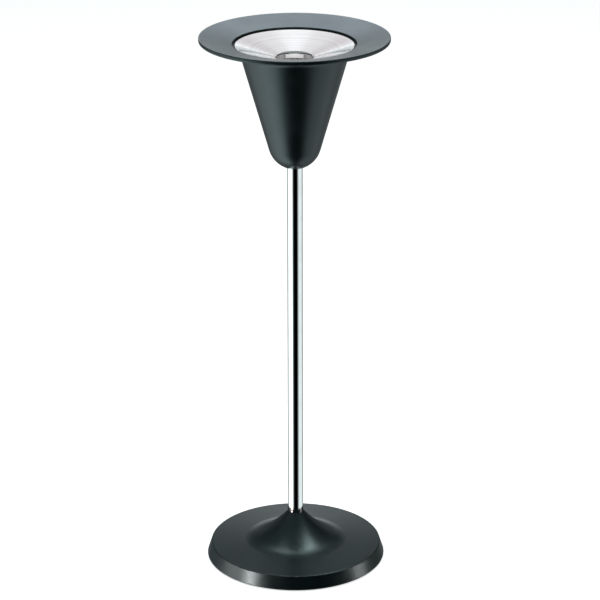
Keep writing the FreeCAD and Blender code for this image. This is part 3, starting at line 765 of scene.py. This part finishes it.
def make_base():
    add_piece("base_cover_turned", cover_mesh(), "stand",
              satin_black("satin_black_base", (0.74, 1.0, 1.0, 1.0)),
              "base_cover")
    add_piece("base_weight_turned", turned_mesh("base_weight", weight_outline(), 192), "stand",
              cast_iron("cast_iron"), "base_weight")
    rubber = black_rubber("rubber_foot")
    for i in range(1, 5):
        node = f"rubber_foot_{i}"
        low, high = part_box(node)
        centre = ((low.x + high.x) / 2, (low.y + high.y) / 2)
        steps = foot_outline((high.x - low.x) / 2 / MM, low.z / MM, high.z / MM)
        add_piece(f"{node}_turned", turned_mesh(node, steps, 96, centre), "stand", rubber,
                  node)


def dress_small_parts():
    dress(zinc_steel("zinc_steel"), "base_bolt", "base_lock_washer", "base_flat_washer", "base_plate_screws",
          "head_bolt", "head_lock_washer", "head_flat_washer")
    dress(turned_steel("turned_steel"), "pole_bottom_plug", "pole_top_plug")
    dress(nylon("nylon"), "pole_guide_bush")
    dress(galvanised_sheet("galvanised_sheet"), "base_plate")


# ---------------------------------------------------------------- studio

def make_floor():
    """Wide pale floor. Only the camera and the lamps see it: the stand is lit by the world from below."""
    half = 30.0
    mesh = bpy.data.meshes.new("floor")
    level = cad_box[0].z - 0.0002
    mesh.from_pydata([(x, y, level) for x, y in ((-half, -half), (half, -half), (half, half), (-half, half))],
                     [], [(0, 1, 2, 3)])
    floor = bpy.data.objects.new("floor", mesh)
    bpy.context.scene.collection.objects.link(floor)
    g = Graph("floor_paper")
    fibres = g.noise(900.0, 3.0)
    g.principled(Base_Color=g.mixed(g.ranged(fibres, 0.3, 0.7, 0.0, 1.0), grey(0.86), grey(0.89)),
                 Roughness=0.9,
                 Specular_IOR_Level=0.0, Emission_Color=grey(1.0), Emission_Strength=0.66)
    mesh.materials.append(g.material)
    floor.visible_glossy = False
    floor.visible_diffuse = False
    floor.visible_shadow = False


def aimed(thing, place, target):
    thing.location = place
    thing.rotation_euler = (Vector(target) - Vector(place)).to_track_quat("-Z", "Y").to_euler()


def soft_box(name, place, target, width, height, radiance, tint=(1.0, 1.0, 1.0), glossy=True, only=()):
    """Rectangular lamp that the camera doesn't see.

    Its brightness is given as radiance, so its size can change alone. The value called only names the
    pieces that it lights. Without it, it lights everything.
    """
    data = bpy.data.lights.new(name, "AREA")
    data.shape, data.size, data.size_y = "RECTANGLE", width, height
    data.energy = 4 * width * height * radiance
    data.color = tint
    lamp = bpy.data.objects.new(name, data)
    bpy.context.scene.collection.objects.link(lamp)
    aimed(lamp, place, target)
    lamp.visible_camera = False
    lamp.visible_glossy = glossy
    if only:
        lit = bpy.data.collections.new(f"{name}_lights")
        for piece in only:
            lit.objects.link(bpy.data.objects[piece])
        lamp.light_linking.receiver_collection = lit


def towards(azimuth, elevation, distance, height=0.0):
    """Point in a direction from the stand's axis. Azimuth 0 is towards the viewer and 90 to the right."""
    a, e = math.radians(azimuth), math.radians(elevation)
    return (distance * math.sin(a) * math.cos(e), -distance * math.cos(a) * math.cos(e),
            height + distance * math.sin(e))


def make_lamps():
    head = (0.0, 0.0, HEAD_TOP_Z * MM)
    flange = ("head_shell_turned", "bowl_seat_ring_turned")
    bowl = ("ash_bowl_turned", "ash_bottle_turned")
    base = ("base_cover_turned",)
    # The drop hole is bright in a catalogue shot, so a lamp stands inside the bottle.
    glow_depth = 26.0
    inside = (0.0, -0.015, (STEP_Z - glow_depth) * MM)
    soft_box("back_bank", (0.0, 1.05, 1.38), head, 2.3, 0.52, 1.95, (0.90, 0.98, 1.09), only=flange)
    soft_box("back_top_bank", (0.0, 0.85, 1.95), head, 2.3, 0.75, 0.9, only=flange)
    soft_box("back_left_low", (-1.5, 4.8, 0.95), head, 2.6, 1.0, 1.1, only=flange)
    soft_box("zenith_strip", (0.0, 0.10, 2.2), head, 1.6, 0.16, 8.0, only=flange)
    soft_box("bowl_wall", (0.0, 1.5, 1.75), head, 3.2, 1.6, 0.46, (1.05, 1.0, 1.04), only=bowl)
    soft_box("bowl_front", (0.0, -1.6, 1.0), head, 2.6, 0.7, 0.3, only=bowl)
    soft_box("bottle_glow", inside, (0.0, 0.05, inside[2]), 0.09, 0.03, 0.5, only=bowl)
    soft_box("front_panel", (0.0, -1.9, 1.5), head, 2.2, 0.9, 0.9, only=flange)
    soft_box("low_back", (0.0, 3.0, 0.60), (0, 0, 0.02), 0.8, 0.28, 1.8, only=base)
    soft_box("left_strip", towards(-58.5, 11, 1.7), (0, 0, 0.02), 0.30, 0.50, 32.0, (1.25, 1.0, 1.0),
             only=base)
    soft_box("left_side", towards(-88, 6, 1.7), (0, 0, 0.02), 0.80, 0.40, 3.8, (1.2, 1.0, 1.0), only=base)
    soft_box("right_strip", towards(86, 6, 1.7), (0, 0, 0.02), 0.44, 0.42, 8.5, (1.2, 1.0, 1.0), only=base)
    soft_box("top_spot", towards(102, 68, 1.6), (0, 0, 0.03), 0.45, 0.45, 7.0, only=base)
    soft_box("top_panel", (0.0, 0.5, 2.0), (0, 0, 0.03), 1.6, 0.9, 2.4, only=base)
    soft_box("overhead_fill", (0.0, 0.0, 2.6), (0, 0, 0), 3.2, 3.2, 1.2, glossy=False)


def make_world():
    """Studio seen by the stand: a pale room behind, a dark one in front, a lit floor with a dark aisle."""
    floor_level = 2.7
    room_level = 1.4
    horizon_slope = 14.0
    horizon_start = 0.9
    world = bpy.data.worlds.new("studio")
    bpy.context.scene.world = world
    world.use_nodes = True
    tree = world.node_tree
    nodes, link = tree.nodes, tree.links.new

    def calc(operation, *values):
        node = nodes.new("ShaderNodeMath")
        node.operation = operation
        node.use_clamp = operation == "MULTIPLY_ADD"
        for socket, value in zip(node.inputs, values):
            if isinstance(value, bpy.types.NodeSocket):
                link(value, socket)
            else:
                socket.default_value = value
        return node.outputs[0]

    def ramp(position, stops):
        """Radiance over azimuth or height, from (position, level) stops."""
        node = nodes.new("ShaderNodeFloatCurve")
        curve = node.mapping.curves[0]
        for _ in range(len(stops) - 2):
            curve.points.new(0.5, 0.5)
        for point, stop in zip(curve.points, stops):
            point.location = stop
            point.handle_type = "AUTO_CLAMPED"
        node.mapping.update()
        link(position, node.inputs["Value"])
        return node.outputs[0]

    direction = nodes.new("ShaderNodeTexCoord").outputs["Generated"]
    split = nodes.new("ShaderNodeSeparateXYZ")
    link(direction, split.inputs[0])
    x, y, z = split.outputs
    turn = calc("ARCTAN2", x, calc("MULTIPLY", y, -1.0))
    azimuth = calc("ADD", calc("DIVIDE", turn, 2 * math.pi), 0.5)
    height = calc("ADD", calc("MULTIPLY", calc("ARCSINE", z), 1 / math.pi), 0.5)

    def at(degrees):
        return degrees / 360 + 0.5

    def level(degrees):
        return degrees / 180 + 0.5

    below = ramp(azimuth, [(0.0, 0.10), (at(-150), 0.08), (at(-135), 0.17), (at(-116), 0.43), (at(-95), 0.65),
                           (at(-73), 0.92), (at(-55), 0.80), (at(-40), 0.42), (at(-21), 0.01), (at(0), 0.0),
                           (at(28), 0.0), (at(40), 0.10), (at(52), 0.24), (at(66), 0.38), (at(84), 0.36),
                           (at(102), 0.38), (at(128), 0.15), (1.0, 0.10)])
    low_fade = ramp(height, [(0.0, 1.0), (level(-18), 1.0), (level(-11), 0.25), (1.0, 0.25)])
    room = ramp(azimuth, [(0.0, 1.0), (at(-173), 0.85), (at(-165), 0.25), (at(-115), 0.18), (at(-60), 0.12),
                          (at(-24), 0.0), (at(44), 0.0), (at(80), 0.15), (at(115), 0.15), (at(165), 0.25),
                          (at(173), 0.85), (1.0, 1.0)])
    room_fade = ramp(height, [(0.0, 0.6), (level(10), 0.6), (level(15), 0.5), (level(20), 0.28),
                              (level(26), 0.20), (level(34), 0.34), (level(45), 0.34), (1.0, 0.34)])
    zenith = ramp(height, [(0.0, 0.0), (level(24), 0.0), (level(38), 0.22), (level(62), 0.3), (1.0, 0.3)])
    above = calc("MAXIMUM", calc("MULTIPLY", calc("MULTIPLY", room, room_fade), room_level), zenith)
    is_above = calc("MULTIPLY_ADD", z, horizon_slope, horizon_start)
    lower = calc("MULTIPLY", calc("MULTIPLY", below, floor_level), low_fade)
    lower_part = calc("MULTIPLY", lower, calc("SUBTRACT", 1.0, is_above))
    radiance = calc("ADD", calc("MULTIPLY", above, is_above), lower_part)
    sees = nodes.new("ShaderNodeLightPath").outputs["Is Camera Ray"]
    shown = calc("ADD", calc("MULTIPLY", radiance, calc("SUBTRACT", 1.0, sees)), sees)
    background = nodes["Background"]
    background.inputs["Color"].default_value = (0.90, 1.0, 1.01, 1.0)
    link(shown, background.inputs["Strength"])


def make_camera():
    """Camera of a catalogue shot: a long lens from standing height."""
    data = bpy.data.cameras.new("camera")
    data.lens, data.sensor_width = 154.90, 36.0
    data.clip_end = 100.0
    camera = bpy.data.objects.new("camera", data)
    bpy.context.scene.collection.objects.link(camera)
    camera.location = (0.0, -2.9656, 1.4569)
    turn = Matrix.Rotation(-0.0020, 3, "Z") @ Matrix.Rotation(math.radians(69.396), 3, "X")
    camera.rotation_euler = (turn @ Matrix.Rotation(-0.0017, 3, "Z")).to_euler()
    bpy.context.scene.camera = camera


make_camera()
make_head()
make_pole()
make_base()
dress_small_parts()
make_floor()
make_lamps()
make_world()
bpy.context.scene.view_settings.view_transform = "Standard"
